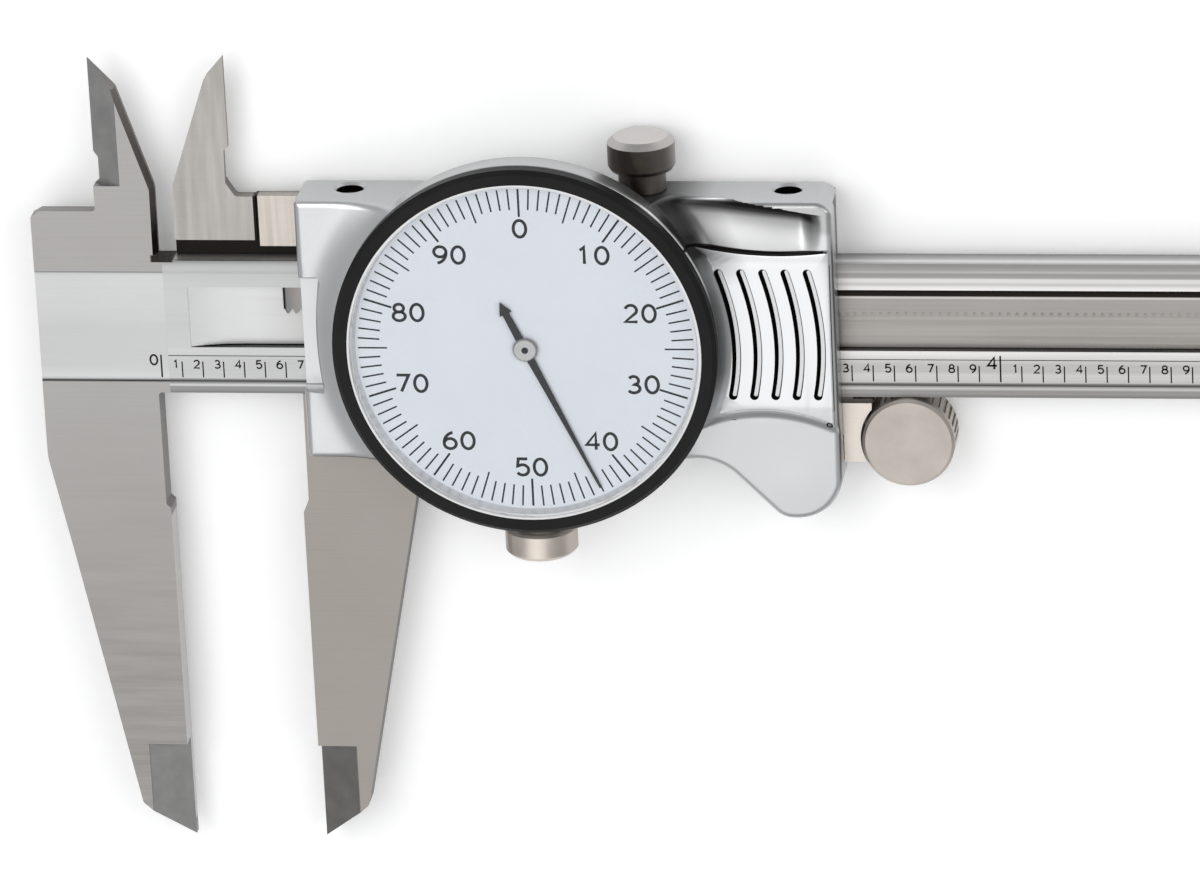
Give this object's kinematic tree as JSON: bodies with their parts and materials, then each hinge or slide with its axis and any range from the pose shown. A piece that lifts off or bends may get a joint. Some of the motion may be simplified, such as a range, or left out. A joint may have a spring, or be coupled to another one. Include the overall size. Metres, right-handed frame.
{
  "type": "dial caliper",
  "caption": "Dial caliper with fixed and sliding outside and inside jaws, rack-driven pointer, turning bezel, locking screw, thumb roller and depth rod.",
  "frame": {"origin": "under the middle of the whole caliper, on the plane it lies on, with the jaws open 16.33 mm", "axes": "+X the way the slider opens, +Y from the outside jaws towards the inside jaws, +Z out of the dial"},
  "size_m": [0.3152, 0.1018, 0.0146],
  "materials": {
    "ground_steel": "ground, fine lines along the beam and across the jaws",
    "rack_steel": "bright steel strip with cut teeth",
    "rod_steel": "drawn bright steel",
    "satin_chrome": "satin chrome on a smooth casting",
    "dark_screw": "blackened steel",
    "gib_brass": "flat ground brass",
    "brass": "lacquered watch-grade brass",
    "bush_bronze": "turned bronze",
    "nickel": "dull warm nickel plate",
    "gunmetal": "dark turned gunmetal finish",
    "spring_steel": "tempered spring steel",
    "bezel_black": "satin black moulded rim",
    "bright_ring": "polished",
    "dial_white": "matt white lacquer with printed black divisions",
    "pointer_dark": "thin black lacquer",
    "crystal_glass": "clear flat window"
  },
  "bodies": {
    "beam": {"beam": "ground_steel", "rack": "rack_steel", "end_stop_screws": "dark_screw"},
    "slider": {"slider_frame": "ground_steel", "dial_housing": "satin_chrome", "housing_screws": "dark_screw", "gib": "gib_brass", "gib_screws": "dark_screw", "rear_cover": "satin_chrome", "rear_cover_screws": "dark_screw", "depth_rod": "rod_steel", "depth_rod_screws": "dark_screw", "roller_bracket": "nickel", "bracket_screw": "dark_screw", "roller_axle": "nickel", "movement_plate": "brass", "movement_plate_screws": "dark_screw", "movement_pillars": "brass", "movement_bridge": "brass", "bridge_screws": "dark_screw", "pivot_bushes": "bush_bronze", "hairspring": "spring_steel", "hairspring_stud": "brass", "bezel_spring_wire": "spring_steel", "bezel_clamp_shoe": "brass"},
    "bezel": {"bezel_ring": "bezel_black", "crystal": "crystal_glass", "crystal_spacer": "bright_ring", "dial_plate": "dial_white"},
    "pointer": {"centre_pinion": "rod_steel", "pointer": "pointer_dark", "pointer_hub": "bright_ring"},
    "rack_gear": {"rack_pinion": "rod_steel", "drive_wheel": "brass", "drive_wheel_collet": "brass"},
    "take_up_gear": {"take_up_wheel": "brass", "take_up_collet": "brass", "take_up_arbor": "rod_steel"},
    "lock_screw": {"lock_screw": "gunmetal"},
    "bezel_clamp_screw": {"bezel_clamp_screw": "nickel"},
    "thumb_roller": {"thumb_roller": "nickel"}
  },
  "joints": [
    {"name": "slider_slide", "type": "slide", "parent": "beam", "child": "slider", "axis": [1, 0, 0], "range_m": [-0.01633, 0.18687]},
    {"name": "rack_gear_spin", "type": "hinge", "parent": "slider", "child": "rack_gear", "pos_m": [-0.10965, 0.01732, 0.0076], "axis": [0, 0, 1], "continuous": true},
    {"name": "pointer_spin", "type": "hinge", "parent": "slider", "child": "pointer", "pos_m": [-0.09715, 0.0171, 0.0101], "axis": [0, 0, 1], "continuous": true},
    {"name": "take_up_spin", "type": "hinge", "parent": "slider", "child": "take_up_gear", "pos_m": [-0.08465, 0.0171, 0.0076], "axis": [0, 0, 1], "continuous": true},
    {"name": "bezel_turn", "type": "hinge", "parent": "slider", "child": "bezel", "pos_m": [-0.09715, 0.0171, 0.0126], "axis": [0, 0, 1], "continuous": true},
    {"name": "lock_screw_turn", "type": "hinge", "parent": "slider", "child": "lock_screw", "pos_m": [-0.08335, 0.0341, 0.0046], "axis": [0, 1, 0], "range_deg": [-90, 180]},
    {"name": "bezel_clamp_turn", "type": "hinge", "parent": "slider", "child": "bezel_clamp_screw", "pos_m": [-0.09695, -0.007, 0.0087], "axis": [0, -1, 0], "range_deg": [-90, 180]},
    {"name": "thumb_roller_spin", "type": "hinge", "parent": "slider", "child": "thumb_roller", "pos_m": [-0.05235, 0.003, 0.0041], "axis": [0, 0, 1], "continuous": true}
  ],
  "couplings": [
    {"joint": "rack_gear_spin", "follows": "slider_slide", "rad_per_m": 618.42},
    {"joint": "pointer_spin", "follows": "slider_slide", "rad_per_m": -2473.7},
    {"joint": "take_up_spin", "follows": "slider_slide", "rad_per_m": 618.42},
    {"joint": "thumb_roller_spin", "follows": "slider_slide", "rad_per_m": 178.57}
  ]
}
